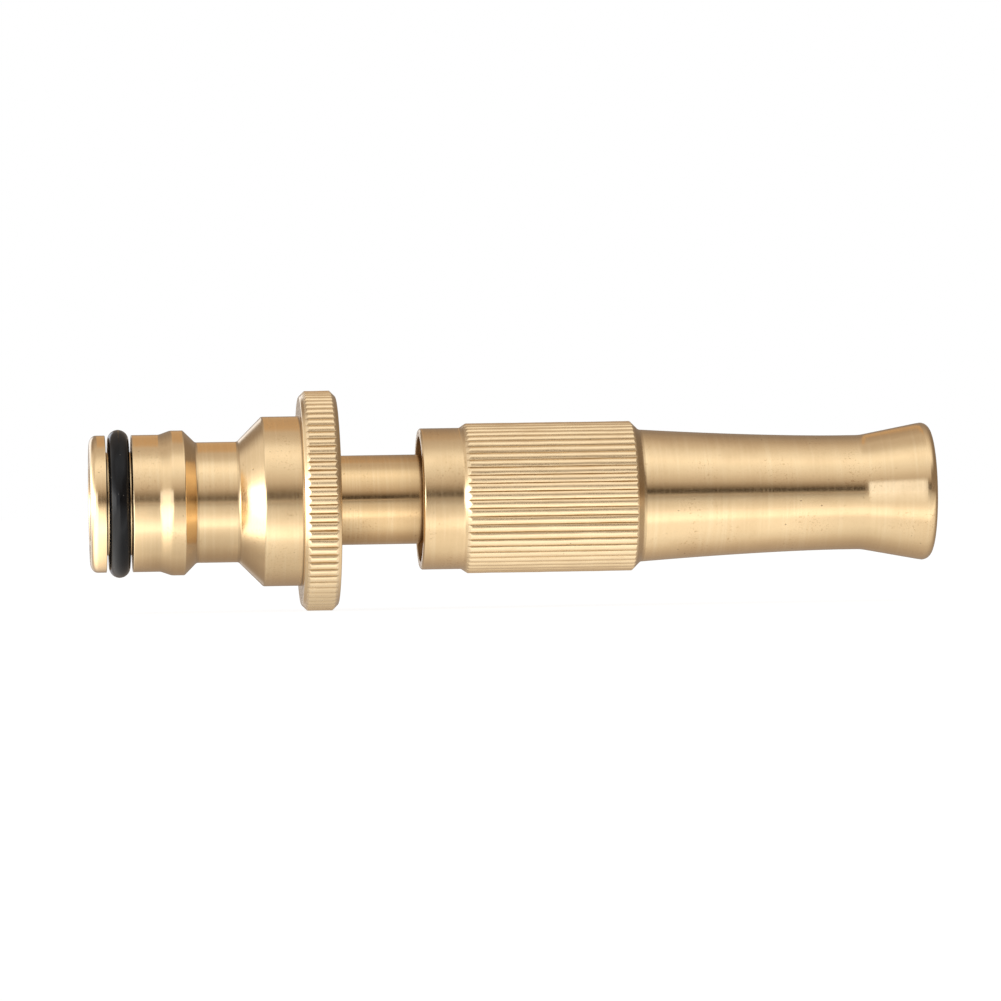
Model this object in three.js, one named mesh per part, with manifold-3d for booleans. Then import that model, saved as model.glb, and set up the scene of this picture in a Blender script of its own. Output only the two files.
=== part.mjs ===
// Adjustable twist nozzle for a garden hose, turned from brass bar. Millimetres.
// The axis is X: water enters at the quick-connect plug (-X) and leaves at the flared mouth (+X).
// The origin is the middle of the plug's nose face, where a hose coupling takes hold of the nozzle.
// The barrel screws along the stem on a right-hand thread: forwards opens it, back shuts it.

import * as THREE from "three";
import { mergeVertices } from "three/addons/utils/BufferGeometryUtils.js";
import Module from "manifold-3d";

const wasm = await Module();
wasm.setup();

// ---- Clearances -------------------------------------------------------------------------------

const RUNNING_GAP = 0.3; // between metal pieces that move on each other
const SEAT_GAP = 0.3; // between metal pieces that are screwed together
const SEAL_GAP = 0.15; // round each rubber ring, and each side of a washer

// ---- Driving dimensions: quick-connect plug -----------------------------------------------------

const INLET_BORE_RADIUS = 4.4;
const INLET_BORE_CHAMFER = 0.5;
const NOSE_FACE_RADIUS = 6.9;
const NOSE_ROUND_LENGTH = 0.85;
const NOSE_LENGTH = 1.9;
const PLUG_LAND_RADIUS = 8.03;
const PLUG_RING_SECTION = 2.5;
const PLUG_RING_SIDE_PLAY = 0.275;
const PLUG_RING_PROUD = 0.65;
const GUIDE_LAND_LENGTH = 3.25;
const CATCH_RADIUS = 8.49;
const CATCH_RAMP_LENGTH = 1.3;
const CATCH_LAND_LENGTH = 1.5;
const NECK_RADIUS = 7.07;
const NECK_LENGTH = 4.93;
const SHOULDER_RADIUS = 9.95;
const SHOULDER_LENGTH = 4.42;
const FLANGE_RADIUS = 12.92;
const FLANGE_WIDTH = 4.3;
const FLANGE_EDGE = 0.7;
const FLANGE_TEETH = 78;
const FLANGE_TOOTH_DEPTH = 0.35;
const SOCKET_DEPTH = 10;
const GASKET_THICKNESS = 1.4;

// ---- Driving dimensions: stem and tip -----------------------------------------------------------

const STEM_RADIUS = 5.25;
const STEM_BORE_RADIUS = 3.1;
const EXPOSED_STEM = 9.75; // bare stem between the flange and the barrel as drawn
const CLOSING_TRAVEL = 6.5;
const OPENING_TRAVEL = 2.5;
const THREAD_PITCH = 2.5;
const THREAD_LENGTH = 7;
const THREAD_DEPTH = 0.8;
const THREAD_ROOT_WIDTH = 1.3;
const THREAD_CREST_WIDTH = 0.7;
const STEM_RING_SECTION = 1.5;
const STEM_RING_SIDE_PLAY = 0.2;
const STEM_RING_LAND = 1.2; // solid stem each side of the ring's groove
const SPIGOT_WALL = 0.8;
const CROSS_HOLE_RADIUS = 1.4;
const CROSS_HOLE_MARGIN = 0.4;
const TIP_WEB = 2.9; // end wall of the stem, which holds the tip's screw
const TIP_SHANK_RADIUS = 1.9;
const TIP_HEAD_LENGTH = 1.2;
const TIP_HEAD_RADIUS = 3.6;
const TIP_RING_SECTION = 1.6;
const TIP_RING_SIDE_PLAY = 0.2;
const TIP_GROOVE_DEPTH = 1;
const TIP_LIP_LENGTH = 0.8;
const TIP_NOSE_LENGTH = 4;
const TIP_NOSE_END_RADIUS = 0.9;

// ---- Driving dimensions: barrel and gland -------------------------------------------------------

const BARREL_LENGTH = 60.5;
const COLLAR_LENGTH = 4.8;
const COLLAR_WALL = 0.95;
const COLLAR_EDGE = 0.2;
const KNURL_STEP = 0.53; // how far the knurl stands above the collar
const KNURL_RAMP_LENGTH = 0.8;
const KNURL_LENGTH = 19.3;
const KNURL_TEETH = 55;
const KNURL_DEPTH = 0.3;
const TAPER_WALL = 2.24; // over the stem's bore, at the thick end
const TAPER_POWER = 1.55;
const WAIST_WALL = 1.95; // over the front chamber
const WAIST_LENGTH = 2.9;
const FLARE_LENGTH = 8.3;
const FLARE_RISE = 1.35;
const RIM_ROUND = 1.05;
const MOUTH_RADIUS = 6.1;
const MOUTH_CHAMFER = 0.3;
const ORIFICE_RADIUS = 3.2;
const ORIFICE_LENGTH = 1.5;
const HORN_DEPTH = 9.4;
const CHAMBER_FLOW_GAP = 0.9; // for water, round the stem's spigot
const BUSH_RECESS = 0.9;
const BUSH_LENGTH = 4.6;
const BUSH_SLOT_WIDTH = 2;
const BUSH_SLOT_DEPTH = 1.2;
const GLAND_RING_SECTION = 1.8;
const GLAND_WASHER_THICKNESS = 0.8;
const THREAD_RELIEF_LENGTH = 1;
const THREAD_RELIEF_STEP = 0.1;

// ---- Smoothness ---------------------------------------------------------------------------------

const ROUND_SEGMENTS = 36;
const RING_SECTION_SEGMENTS = 8;
const THREAD_STEPS_PER_TURN = 18;
const TAPER_STEPS = 3;
const HORN_STEPS = 3;
const ROUND_STEPS = 3;

// ---- Radii that follow --------------------------------------------------------------------------

const socketRadius = STEM_RADIUS + SEAT_GAP;
const plugRingRadius = PLUG_LAND_RADIUS + PLUG_RING_PROUD - PLUG_RING_SECTION / 2;
const plugGrooveRadius = plugRingRadius - PLUG_RING_SECTION / 2 - SEAL_GAP;
const coreBoreRadius = STEM_RADIUS + RUNNING_GAP;
const stemRingRadius = coreBoreRadius - SEAL_GAP - STEM_RING_SECTION / 2;
const stemGrooveRadius = stemRingRadius - STEM_RING_SECTION / 2 - SEAL_GAP;
const spigotRadius = STEM_BORE_RADIUS + SPIGOT_WALL;
const chamberRadius = spigotRadius + CHAMBER_FLOW_GAP;
const tipLipRadius = ORIFICE_RADIUS - RUNNING_GAP;
const tipGrooveRadius = tipLipRadius - TIP_GROOVE_DEPTH;
const tipRingRadius = tipGrooveRadius + SEAL_GAP + TIP_RING_SECTION / 2;
const threadReliefRadius = STEM_RADIUS + THREAD_DEPTH + RUNNING_GAP + THREAD_RELIEF_STEP;
const glandRingRadius = STEM_RADIUS + SEAL_GAP + GLAND_RING_SECTION / 2;
const glandBoreRadius = glandRingRadius + GLAND_RING_SECTION / 2 + SEAL_GAP;
const collarRadius = glandBoreRadius + COLLAR_WALL;
const knurlRadius = collarRadius + KNURL_STEP;
const taperRadius = coreBoreRadius + TAPER_WALL;
const waistRadius = chamberRadius + WAIST_WALL;
const flareRadius = waistRadius + FLARE_RISE;

// ---- Places along the plug, from its nose face --------------------------------------------------

const plugGrooveEnd = NOSE_LENGTH + PLUG_RING_SECTION + 2 * PLUG_RING_SIDE_PLAY;
const guideLandEnd = plugGrooveEnd + GUIDE_LAND_LENGTH;
const catchStart = guideLandEnd + CATCH_RAMP_LENGTH;
const catchEnd = catchStart + CATCH_LAND_LENGTH;
const neckStart = catchEnd + CATCH_RADIUS - NECK_RADIUS; // both cones beside the neck are at 45 degrees
const neckEnd = neckStart + NECK_LENGTH;
const shoulderStart = neckEnd + SHOULDER_RADIUS - NECK_RADIUS;
const flangeStart = shoulderStart + SHOULDER_LENGTH;
const plugLength = flangeStart + FLANGE_WIDTH;
const socketBottom = plugLength - SOCKET_DEPTH;
const stemRear = socketBottom + SEAL_GAP + GASKET_THICKNESS + SEAL_GAP;
const barrelRear = plugLength + EXPOSED_STEM;

// ---- Places along the barrel, from its rear face, with the barrel as drawn ----------------------

const bushEnd = BUSH_RECESS + BUSH_LENGTH;
const glandRingPlace = bushEnd + SEAL_GAP + GLAND_RING_SECTION / 2;
const glandWasherStart = glandRingPlace + GLAND_RING_SECTION / 2 + SEAL_GAP;
const glandEnd = glandWasherStart + GLAND_WASHER_THICKNESS + SEAL_GAP;
const threadStart = glandEnd + RUNNING_GAP + OPENING_TRAVEL;
const threadEnd = threadStart + THREAD_LENGTH;
const nutThreadEnd = threadEnd + CLOSING_TRAVEL + RUNNING_GAP;
const stemRingPlace =
  nutThreadEnd + OPENING_TRAVEL + STEM_RING_LAND + STEM_RING_SIDE_PLAY + STEM_RING_SECTION / 2;
const stemShoulder = stemRingPlace + STEM_RING_SECTION / 2 + STEM_RING_SIDE_PLAY + STEM_RING_LAND;
const coreBoreEnd = stemShoulder + CLOSING_TRAVEL + RUNNING_GAP;
const hornStart = BARREL_LENGTH - HORN_DEPTH;
const orificeStart = hornStart - ORIFICE_LENGTH;
const seatStart = orificeStart - (chamberRadius - ORIFICE_RADIUS); // the seat is a 45 degree cone
// Shut, the tip's ring touches the seat cone but for the seal gap.
const ringToSeat = Math.SQRT2 * (TIP_RING_SECTION / 2 + SEAL_GAP);
const tipRingPlace = seatStart + chamberRadius - tipRingRadius - ringToSeat - CLOSING_TRAVEL;
const tipGrooveLength = TIP_RING_SECTION + 2 * TIP_RING_SIDE_PLAY;
const tipPlace = tipRingPlace - tipGrooveLength / 2 - TIP_HEAD_LENGTH;
const stemFront = tipPlace - SEAT_GAP;
const knurlStart = COLLAR_LENGTH + KNURL_RAMP_LENGTH;
const knurlEnd = knurlStart + KNURL_LENGTH;
const taperStart = knurlEnd + knurlRadius - taperRadius; // the knurl's front chamfer is at 45 degrees
const flareStart = BARREL_LENGTH - FLARE_LENGTH;
const waistStart = flareStart - WAIST_LENGTH;

// ---- Shape helpers ------------------------------------------------------------------------------

/** A turned shape about X from [x, radius] points: a closed loop, or an outline from axis to axis. */
function turned(points, segments = ROUND_SEGMENTS) {
  const onAxis = points[0][1] === 0;
  const loop = onAxis ? points : [...points, points[0]];
  const area = loop.reduce((sum, [x, r], i) => {
    const [nextX, nextR] = loop[(i + 1) % loop.length];
    return sum + x * nextR - nextX * r;
  }, 0);
  const ordered = area > 0 ? [...loop].reverse() : loop;
  const outline = ordered.map(([x, r]) => new THREE.Vector2(r, x));
  return new THREE.LatheGeometry(outline, segments).rotateZ(-Math.PI / 2);
}

/** Presses straight V grooves into a turned shape's outer surface, down to crest - depth. */
function knurled(geometry, teeth, crest, depth, flankShare) {
  const position = geometry.attributes.position;
  for (let i = 0; i < position.count; i++) {
    const y = position.getY(i);
    const z = position.getZ(i);
    const radius = Math.hypot(y, z);
    const phase = (Math.atan2(y, z) / (2 * Math.PI)) * teeth;
    const fromGroove = Math.abs(phase - Math.round(phase));
    const limit = crest - depth * Math.max(0, 1 - fromGroove / flankShare);
    const scale = Math.min(1, limit / radius);
    position.setY(i, y * scale);
    position.setZ(i, z * scale);
  }
  return geometry;
}

/** A rubber ring of round section about X. */
function sealRing(radius, section) {
  return new THREE.TorusGeometry(
    radius,
    section / 2,
    RING_SECTION_SEGMENTS,
    ROUND_SEGMENTS,
  ).rotateY(Math.PI / 2);
}

/** A flat ring about X, from x = 0. */
function flatRing(innerRadius, outerRadius, thickness) {
  return turned([
    [0, innerRadius],
    [0, outerRadius],
    [thickness, outerRadius],
    [thickness, innerRadius],
  ]);
}

/** Points of a quarter round from a radius on a face to the full radius further along. */
function roundedEdge(faceX, faceRadius, fullX, fullRadius) {
  return Array.from({ length: ROUND_STEPS + 1 }, (_, i) => {
    const turn = (i / ROUND_STEPS) * (Math.PI / 2);
    return [
      fullX + (faceX - fullX) * Math.cos(turn),
      faceRadius + (fullRadius - faceRadius) * Math.sin(turn),
    ];
  });
}

/** A right-hand helix about X; its frames point outwards from the axis and back along it. */
class Helix extends THREE.Curve {
  constructor(radius, start, end, phaseOrigin) {
    super();
    Object.assign(this, { radius, start, end, phaseOrigin });
  }

  angleAt(t) {
    const x = this.start + (this.end - this.start) * t;
    return ((x + this.phaseOrigin) / THREAD_PITCH) * 2 * Math.PI;
  }

  getPoint(t, target = new THREE.Vector3()) {
    const angle = this.angleAt(t);
    const x = this.start + (this.end - this.start) * t;
    return target.set(x, this.radius * Math.cos(angle), this.radius * Math.sin(angle));
  }

  computeFrenetFrames(segments) {
    const places = Array.from({ length: segments + 1 }, (_, i) => i / segments);
    const outward = (t) => {
      const angle = this.angleAt(t);
      return new THREE.Vector3(0, Math.cos(angle), Math.sin(angle));
    };
    return {
      tangents: places.map((t) => this.getTangent(t)),
      normals: places.map(outward),
      binormals: places.map(() => new THREE.Vector3(-1, 0, 0)),
    };
  }
}

/** One thread ridge, from inside the stem's surface out to its crest, grown by a clearance. */
function threadRidge(start, end, phaseOrigin, clearance) {
  const slope = (THREAD_ROOT_WIDTH - THREAD_CREST_WIDTH) / 2 / THREAD_DEPTH;
  const sink = clearance > 0 ? 0 : THREAD_DEPTH / 2;
  const foot = THREAD_ROOT_WIDTH / 2 + slope * sink + clearance;
  const crest = THREAD_CREST_WIDTH / 2 + clearance;
  const height = THREAD_DEPTH + clearance;
  const section = new THREE.Shape([
    new THREE.Vector2(-sink, -foot),
    new THREE.Vector2(height, -crest),
    new THREE.Vector2(height, crest),
    new THREE.Vector2(-sink, foot),
  ]);
  const turns = (end - start) / THREAD_PITCH;
  return new THREE.ExtrudeGeometry(section, {
    steps: Math.ceil(turns * THREAD_STEPS_PER_TURN),
    bevelEnabled: false,
    extrudePath: new Helix(STEM_RADIUS, start, end, phaseOrigin),
  });
}

/** A closed geometry as a solid that can be joined and cut. */
function solid(geometry) {
  const bare = geometry.clone();
  bare.deleteAttribute("normal");
  bare.deleteAttribute("uv");
  const merged = mergeVertices(bare, 1e-4);
  return new wasm.Manifold(
    new wasm.Mesh({
      numProp: 3,
      vertProperties: merged.attributes.position.array,
      triVerts: new Uint32Array(merged.index.array),
    }),
  );
}

/** A solid back as a geometry. */
function geometryOf(made) {
  const mesh = made.getMesh();
  return new THREE.BufferGeometry()
    .setAttribute("position", new THREE.BufferAttribute(mesh.vertProperties, mesh.numProp))
    .setIndex(new THREE.BufferAttribute(mesh.triVerts, 1))
    .toNonIndexed();
}

function brass(color, roughness) {
  return new THREE.MeshStandardMaterial({ color, roughness, metalness: 1 });
}

function rubber(color, roughness) {
  return new THREE.MeshStandardMaterial({ color, roughness, metalness: 0 });
}

function piece(name, geometry, material, x) {
  const mesh = new THREE.Mesh(geometry, material);
  mesh.name = name;
  mesh.geometry.computeVertexNormals();
  mesh.position.x = x;
  return mesh;
}

// ---- Fixed pieces -------------------------------------------------------------------------------

/** The plug's knurled hand flange, sunk a little into the shoulder behind it. */
function flangeRing() {
  const sunkRadius = (SHOULDER_RADIUS + socketRadius) / 2;
  const edgeRadius = FLANGE_RADIUS - FLANGE_EDGE;
  const ring = turned(
    [
      [flangeStart, sunkRadius],
      [flangeStart, edgeRadius],
      [flangeStart + FLANGE_EDGE, FLANGE_RADIUS],
      [plugLength - FLANGE_EDGE, FLANGE_RADIUS],
      [plugLength, edgeRadius],
      [plugLength, sunkRadius],
    ],
    2 * FLANGE_TEETH,
  );
  return knurled(ring, FLANGE_TEETH, FLANGE_RADIUS, FLANGE_TOOTH_DEPTH, 0.5);
}

function quickConnectPlug() {
  const body = turned([
    [0, INLET_BORE_RADIUS + INLET_BORE_CHAMFER],
    ...roundedEdge(0, NOSE_FACE_RADIUS, NOSE_ROUND_LENGTH, PLUG_LAND_RADIUS),
    [NOSE_LENGTH, PLUG_LAND_RADIUS],
    [NOSE_LENGTH, plugGrooveRadius],
    [plugGrooveEnd, plugGrooveRadius],
    [plugGrooveEnd, PLUG_LAND_RADIUS],
    [guideLandEnd, PLUG_LAND_RADIUS],
    [catchStart, CATCH_RADIUS],
    [catchEnd, CATCH_RADIUS],
    [neckStart, NECK_RADIUS],
    [neckEnd, NECK_RADIUS],
    [shoulderStart, SHOULDER_RADIUS],
    [plugLength, SHOULDER_RADIUS],
    [plugLength, socketRadius],
    [socketBottom, socketRadius],
    [socketBottom, INLET_BORE_RADIUS],
    [INLET_BORE_CHAMFER, INLET_BORE_RADIUS],
  ]);
  return geometryOf(solid(body).add(solid(flangeRing())));
}

/** The stem from its rear end: bored tube with adjusting thread, ring groove and cross-drilled spigot. */
function stemTube() {
  const place = (fromBarrelRear) => barrelRear + fromBarrelRear - stemRear;
  const grooveHalf = STEM_RING_SECTION / 2 + STEM_RING_SIDE_PLAY;
  const front = place(stemFront);
  const boreEnd = front - TIP_WEB;
  const tube = turned([
    [0, STEM_BORE_RADIUS],
    [0, STEM_RADIUS],
    [place(stemRingPlace) - grooveHalf, STEM_RADIUS],
    [place(stemRingPlace) - grooveHalf, stemGrooveRadius],
    [place(stemRingPlace) + grooveHalf, stemGrooveRadius],
    [place(stemRingPlace) + grooveHalf, STEM_RADIUS],
    [place(stemShoulder), STEM_RADIUS],
    [place(stemShoulder), spigotRadius],
    [front, spigotRadius],
    [front, TIP_SHANK_RADIUS + SEAT_GAP],
    [boreEnd, TIP_SHANK_RADIUS + SEAT_GAP],
    [boreEnd, STEM_BORE_RADIUS],
  ]);
  const halfRidge = THREAD_ROOT_WIDTH / 2;
  const ridge = threadRidge(
    place(threadStart) + halfRidge,
    place(threadEnd) - halfRidge,
    stemRear,
    0,
  );
  const holeLength = 2 * STEM_RADIUS;
  const hole = () =>
    new THREE.CylinderGeometry(
      CROSS_HOLE_RADIUS,
      CROSS_HOLE_RADIUS,
      holeLength,
      RING_SECTION_SEGMENTS * 2,
    );
  const holePlace = boreEnd - CROSS_HOLE_MARGIN - CROSS_HOLE_RADIUS;
  const acrossY = solid(hole().translate(holePlace, 0, 0));
  const acrossZ = solid(hole().rotateX(Math.PI / 2).translate(holePlace, 0, 0));
  return geometryOf(solid(tube).add(solid(ridge)).subtract(acrossY).subtract(acrossZ));
}

/** The tip from its head's rear face: screw shank behind, ring groove, lip and cone in front. */
function sprayTip() {
  const grooveEnd = TIP_HEAD_LENGTH + tipGrooveLength;
  const lipEnd = grooveEnd + TIP_LIP_LENGTH;
  return turned([
    [-TIP_WEB, 0],
    [-TIP_WEB, TIP_SHANK_RADIUS],
    [0, TIP_SHANK_RADIUS],
    [0, TIP_HEAD_RADIUS],
    [TIP_HEAD_LENGTH, TIP_HEAD_RADIUS],
    [TIP_HEAD_LENGTH, tipGrooveRadius],
    [grooveEnd, tipGrooveRadius],
    [grooveEnd, tipLipRadius],
    [lipEnd, tipLipRadius],
    [lipEnd + TIP_NOSE_LENGTH, TIP_NOSE_END_RADIUS],
    [lipEnd + TIP_NOSE_LENGTH, 0],
  ]);
}

// ---- Moving pieces ------------------------------------------------------------------------------

/** The barrel's knurled grip band, sunk a little into the wall that it stands on. */
function gripBand() {
  const sink = COLLAR_WALL / 2;
  const innerRadius = Math.min(collarRadius, taperRadius) - sink / 2;
  const rampSlope = KNURL_STEP / KNURL_RAMP_LENGTH;
  const rampSink = sink / 2;
  const band = turned(
    [
      [COLLAR_LENGTH - rampSink, innerRadius],
      [COLLAR_LENGTH - rampSink, collarRadius - rampSink * rampSlope],
      [knurlStart, knurlRadius],
      [knurlEnd, knurlRadius],
      [knurlEnd + knurlRadius - innerRadius, innerRadius],
    ],
    4 * KNURL_TEETH,
  );
  return knurled(band, KNURL_TEETH, knurlRadius, KNURL_DEPTH, 0.5);
}

/** The outside from the knurl's front to the waist: steep at first, then easing into the waist. */
function taperPoints() {
  return Array.from({ length: TAPER_STEPS + 1 }, (_, i) => {
    const share = i / TAPER_STEPS;
    const x = taperStart + (waistStart - taperStart) * share;
    return [x, waistRadius + (taperRadius - waistRadius) * (1 - share) ** TAPER_POWER];
  });
}

/** The horn's inside, from the orifice out to the mouth, opening a little faster as it goes. */
function hornPoints() {
  const end = BARREL_LENGTH - MOUTH_CHAMFER;
  return Array.from({ length: HORN_STEPS + 1 }, (_, i) => {
    const share = i / HORN_STEPS;
    const radius = ORIFICE_RADIUS + (MOUTH_RADIUS - ORIFICE_RADIUS) * share ** 1.2;
    return [hornStart + (end - hornStart) * share, radius];
  });
}

function barrel() {
  const rimStart = BARREL_LENGTH - RIM_ROUND;
  const flareBodyEnd = rimStart - RIM_ROUND / 2;
  const underKnurlEnd = knurlEnd + (knurlRadius - collarRadius) / 2;
  const rim = roundedEdge(BARREL_LENGTH, flareRadius - RIM_ROUND, rimStart, flareRadius).reverse();
  const body = turned([
    [0, glandBoreRadius],
    [0, collarRadius - COLLAR_EDGE],
    [COLLAR_EDGE, collarRadius],
    [underKnurlEnd, collarRadius],
    ...taperPoints(),
    [flareStart, waistRadius],
    [flareBodyEnd, flareRadius - FLARE_RISE * 0.06],
    ...rim,
    [BARREL_LENGTH, MOUTH_RADIUS + MOUTH_CHAMFER],
    ...hornPoints().reverse(),
    [orificeStart, ORIFICE_RADIUS],
    [seatStart, chamberRadius],
    [coreBoreEnd, chamberRadius],
    [coreBoreEnd, coreBoreRadius],
    [glandEnd + THREAD_RELIEF_LENGTH, coreBoreRadius],
    [glandEnd + THREAD_RELIEF_LENGTH, threadReliefRadius],
    [glandEnd, threadReliefRadius],
    [glandEnd, glandBoreRadius],
  ]);
  const grooveHalf = THREAD_ROOT_WIDTH / 2 + RUNNING_GAP;
  const groove = threadRidge(
    glandEnd + grooveHalf,
    nutThreadEnd - THREAD_ROOT_WIDTH / 2,
    barrelRear,
    RUNNING_GAP,
  );
  return geometryOf(solid(body).add(solid(gripBand())).subtract(solid(groove)));
}

/** The screwed bush that closes the barrel's rear round the stem, with a slot for a flat spanner. */
function glandBush() {
  const outerRadius = glandBoreRadius - SEAT_GAP;
  const ring = solid(flatRing(coreBoreRadius, outerRadius, BUSH_LENGTH));
  const slot = new THREE.BoxGeometry(2 * BUSH_SLOT_DEPTH, BUSH_SLOT_WIDTH, 4 * outerRadius);
  return geometryOf(ring.subtract(solid(slot)));
}

// ---- The nozzle ---------------------------------------------------------------------------------

const fixed = new THREE.Group();
fixed.add(
  piece("quick_connect_plug", quickConnectPlug(), brass(0xd9b478, 0.34), 0),
  piece(
    "plug_o_ring",
    sealRing(plugRingRadius, PLUG_RING_SECTION),
    rubber(0x16171a, 0.45),
    (NOSE_LENGTH + plugGrooveEnd) / 2,
  ),
  piece(
    "stem_joint_gasket",
    flatRing(INLET_BORE_RADIUS, socketRadius - SEAL_GAP, GASKET_THICKNESS),
    rubber(0x1d1d1f, 0.7),
    socketBottom + SEAL_GAP,
  ),
  piece("stem_tube", stemTube(), brass(0xcfa469, 0.3), stemRear),
  piece(
    "stem_o_ring",
    sealRing(stemRingRadius, STEM_RING_SECTION),
    rubber(0x16171a, 0.5),
    barrelRear + stemRingPlace,
  ),
  piece("spray_tip", sprayTip(), brass(0xd6ae70, 0.28), barrelRear + tipPlace),
  piece(
    "tip_o_ring",
    sealRing(tipRingRadius, TIP_RING_SECTION),
    rubber(0x16171a, 0.5),
    barrelRear + tipRingPlace,
  ),
);

const glandSeal = new THREE.Group();
glandSeal.position.x = barrelRear;
glandSeal.add(
  piece(
    "gland_o_ring",
    sealRing(glandRingRadius, GLAND_RING_SECTION),
    rubber(0x16171a, 0.5),
    glandRingPlace,
  ),
  piece(
    "gland_washer",
    flatRing(coreBoreRadius, glandBoreRadius - SEAL_GAP, GLAND_WASHER_THICKNESS),
    brass(0xc89f62, 0.4),
    glandWasherStart,
  ),
);

const turning = new THREE.Group();
turning.position.x = barrelRear;
turning.add(
  piece("barrel", barrel(), brass(0xd9b272, 0.33), 0),
  piece("gland_bush", glandBush(), brass(0xb98f58, 0.42), BUSH_RECESS),
);

const nozzle = new THREE.Group();
nozzle.add(fixed, glandSeal, turning);

export default nozzle;
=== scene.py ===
"""Adjustable twist nozzle for a garden hose, turned from brass bar: its finish, studio and camera.

The axis of the nozzle is X, from the quick-connect plug to the flared mouth. Shapes are worked
out in millimetres and made in metres. Angles round the axis start at +Z and turn towards +Y.
"""

import math

import bpy
import numpy as np
from mathutils import Matrix, Vector


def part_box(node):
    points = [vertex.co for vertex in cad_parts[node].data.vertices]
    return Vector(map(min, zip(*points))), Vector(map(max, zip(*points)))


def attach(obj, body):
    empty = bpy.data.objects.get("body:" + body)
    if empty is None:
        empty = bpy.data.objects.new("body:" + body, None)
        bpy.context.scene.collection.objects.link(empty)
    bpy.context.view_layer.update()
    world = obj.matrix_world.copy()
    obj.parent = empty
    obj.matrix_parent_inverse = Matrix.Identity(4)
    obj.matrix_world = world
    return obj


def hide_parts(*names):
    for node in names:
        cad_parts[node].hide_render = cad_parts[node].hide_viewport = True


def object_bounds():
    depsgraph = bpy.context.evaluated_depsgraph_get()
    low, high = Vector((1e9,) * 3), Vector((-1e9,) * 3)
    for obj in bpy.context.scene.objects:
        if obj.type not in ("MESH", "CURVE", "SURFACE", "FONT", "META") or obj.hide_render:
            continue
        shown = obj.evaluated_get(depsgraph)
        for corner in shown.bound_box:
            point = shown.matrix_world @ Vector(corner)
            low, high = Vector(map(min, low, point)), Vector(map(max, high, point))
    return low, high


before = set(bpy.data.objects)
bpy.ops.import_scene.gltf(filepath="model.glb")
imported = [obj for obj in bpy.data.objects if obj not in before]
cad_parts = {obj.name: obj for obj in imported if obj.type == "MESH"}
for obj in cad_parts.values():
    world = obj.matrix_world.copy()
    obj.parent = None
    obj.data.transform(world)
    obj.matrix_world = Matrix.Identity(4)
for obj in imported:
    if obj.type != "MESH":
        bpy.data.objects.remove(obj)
cad_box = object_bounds()

MM = 0.001
TURN = 2 * math.pi

# ---- Shape tools --------------------------------------------------------------------------------


def arc(start, end, steps=6):
    """Points of a quarter ellipse: it leaves start along the radius and reaches end along X.

    X follows the cosine from start to end, and the radius the sine.
    """
    turn = np.linspace(0, math.pi / 2, steps + 1)
    x = end[0] + (start[0] - end[0]) * np.cos(turn)
    r = start[1] + (end[1] - start[1]) * np.sin(turn)
    return [(float(a), float(b), 0) for a, b in zip(x, r)]


def slope(x, radius, length, rise, steps=8):
    """Points of a straight slope, close enough together for teeth to run out on it."""
    share = np.linspace(0, 1, steps + 1)
    return [(x + length * float(s), radius + rise * float(s)) for s in share]


def outline(corners, spacing=2.5, closed=False):
    """A profile of (x, radius, rounding) corners as rows of x, radius and bend.

    Each corner is cut back by its rounding and bridged by a parabola: the corner's two cut points
    and the corner itself, weighted (1-t)^2, t^2 and 2t(1-t). Straight runs get a row just inside
    each end and rows at most one spacing apart. Bend is up to +1 on an outside corner and down to
    -1 on an inside one: the share of a right angle that it turns by, past a first 20 degrees.
    """
    point = np.array([c[:2] for c in corners], float)
    rounding = np.array([c[2] if len(c) > 2 else 0 for c in corners], float)
    count = len(point)
    before, after = np.roll(point, 1, 0), np.roll(point, -1, 0)
    to_before, to_after = before - point, after - point
    span_before = np.hypot(*to_before.T)
    span_after = np.hypot(*to_after.T)
    unit_before = to_before / np.maximum(span_before, 1e-9)[:, None]
    unit_after = to_after / np.maximum(span_after, 1e-9)[:, None]
    cross = unit_before[:, 0] * unit_after[:, 1] - unit_before[:, 1] * unit_after[:, 0]
    turn = np.degrees(np.arctan2(np.abs(cross), -np.sum(unit_before * unit_after, 1)))
    bend = np.sign(cross) * np.clip((turn - 20) / 70, 0, 1)
    cut = np.minimum(rounding, 0.45 * np.minimum(span_before, span_after))
    if not closed:
        cut[0] = cut[-1] = 0
    t = np.linspace(0, 1, 5)[:, None]
    runs = []
    for i in range(count):
        if cut[i] > 0:
            entry, leave = point[i] + unit_before[i] * cut[i], point[i] + unit_after[i] * cut[i]
            curve = (1 - t) ** 2 * entry + t**2 * leave + 2 * t * (1 - t) * point[i]
            runs.append(np.column_stack([curve, np.full(len(t), bend[i])]))
        else:
            runs.append(np.append(point[i], 0)[None])
    rows = []
    for i, run in enumerate(runs):
        rows.append(run)
        if i == count - 1 and not closed:
            break
        following = runs[(i + 1) % count]
        start, end = run[-1, :2], following[0, :2]
        length = float(np.hypot(*(end - start)))
        if length > 0.45:
            inset = min(0.09, 0.2 * length) / length
            inner = np.linspace(inset, 1 - inset, max(2, int(length / spacing) + 2))[:, None]
            straight = start + (end - start) * inner
            rows.append(np.column_stack([straight, np.zeros(len(straight))]))
    return np.concatenate(rows)


def even(columns):
    """Equal steps round the axis."""
    return np.arange(columns) / columns * TURN


def toothed(teeth, places):
    """Steps round the axis that fall at the same places, as shares of a tooth, on every tooth."""
    return ((np.arange(teeth)[:, None] + np.array(places)[None]) / teeth * TURN).ravel()


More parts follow.
